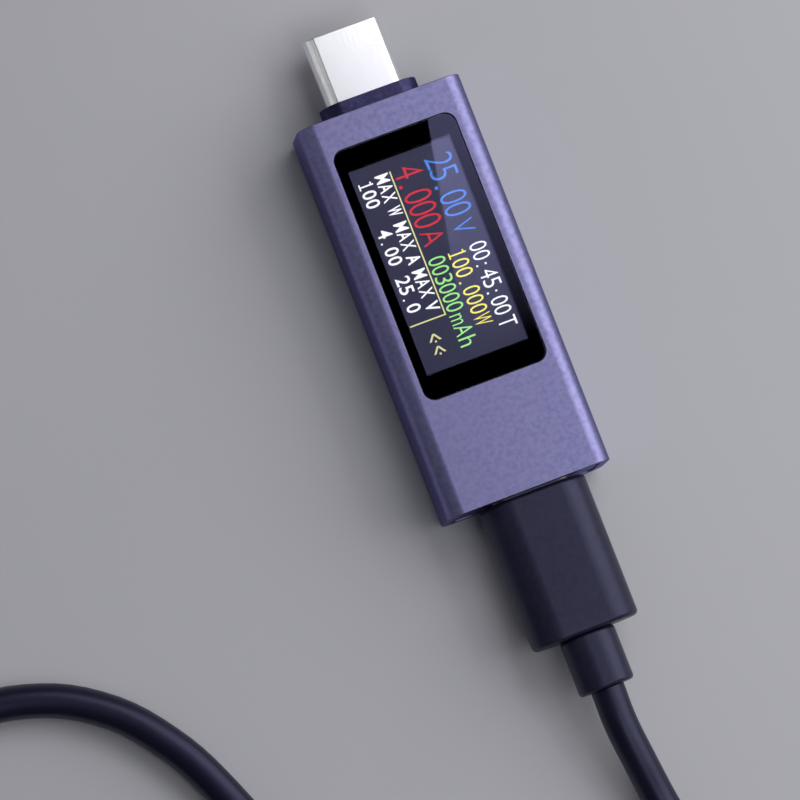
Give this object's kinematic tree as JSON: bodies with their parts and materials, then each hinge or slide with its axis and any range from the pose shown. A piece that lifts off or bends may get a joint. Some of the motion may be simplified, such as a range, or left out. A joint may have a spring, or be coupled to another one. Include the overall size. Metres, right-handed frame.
{
  "type": "usb power meter",
  "caption": "In-line USB-C power meter: aluminium sleeve with glass-covered colour display, USB-C plug and socket, side key, and a USB-C lead in the socket.",
  "frame": {"origin": "middle of the meter's underside, taken over sleeve and plug with the lead left out; z = 0 is the surface it lies on", "axes": "+Z out of the display, +Y along the meter towards its USB-C plug, +X across it"},
  "size_m": [0.1071, 0.1105, 0.0139],
  "materials": {
    "anodised_case": "bead-blasted and anodised, satin",
    "cover_glass": "polished",
    "black_ink": "gloss",
    "foam_tape": "matt",
    "lcd_panel": "lit colour panel behind glass",
    "white_plastic": "satin",
    "flex_film": "satin",
    "circuit_board": "solder mask, semi-gloss",
    "black_plastic": "matt",
    "chip_package": "moulded, matt",
    "ceramic": "matt",
    "connector_steel": "bright nickel plate",
    "spring_steel": "satin",
    "gold_contacts": "gold flash",
    "ivory_plastic": "satin",
    "lead_rubber": "soft-touch, matt",
    "strap": "woven hook-and-loop"
  },
  "bodies": {
    "meter": {"sleeve": "anodised_case", "plug_end_cap": "anodised_case", "socket_end_cap": "anodised_case", "cover_glass": "cover_glass", "glass_border": "black_ink", "window_tape": "foam_tape", "lcd_panel": "lcd_panel", "lcd_backlight": "white_plastic", "lcd_frame": "white_plastic", "lcd_flex": "flex_film", "main_board": "circuit_board", "insulating_tray": "black_plastic", "shunt_resistor": "chip_package", "microcontroller": "chip_package", "sense_amplifier": "chip_package", "voltage_regulator": "chip_package", "memory_chip": "chip_package", "ceramic_capacitors": "ceramic", "chip_resistors": "chip_package", "switch_body": "black_plastic", "switch_dome": "spring_steel", "plug_shell": "connector_steel", "plug_insulator": "black_plastic", "plug_contacts": "gold_contacts", "plug_latch_springs": "spring_steel", "socket_shell": "connector_steel", "socket_housing": "black_plastic", "socket_contacts": "gold_contacts", "socket_mid_plate": "spring_steel"},
    "key": {"button_cap": "anodised_case", "switch_plunger": "ivory_plastic"},
    "lead": {"lead_plug_shell": "connector_steel", "lead_plug_insulator": "black_plastic", "lead_plug_contacts": "gold_contacts", "lead_plug_latch_springs": "spring_steel", "lead_plug_board": "circuit_board", "marker_chip": "chip_package", "lead_grip": "lead_rubber", "lead_strain_relief": "lead_rubber", "lead_cord": "lead_rubber", "lead_coil": "lead_rubber", "lead_tail": "lead_rubber", "coil_tie": "strap", "far_plug_shell": "connector_steel", "far_plug_insulator": "black_plastic", "far_plug_contacts": "gold_contacts", "far_grip": "lead_rubber", "far_strain_relief": "lead_rubber"}
  },
  "joints": [
    {"name": "key_press", "type": "slide", "parent": "meter", "child": "key", "axis": [-1, 0, 0], "range_m": [0, 0.00025], "stiffness_N_per_m": 400, "springref_m": -0.0002},
    {"name": "lead_unplug", "type": "slide", "parent": "meter", "child": "lead", "axis": [0, -1, 0], "range_m": [0, 0.012]}
  ]
}
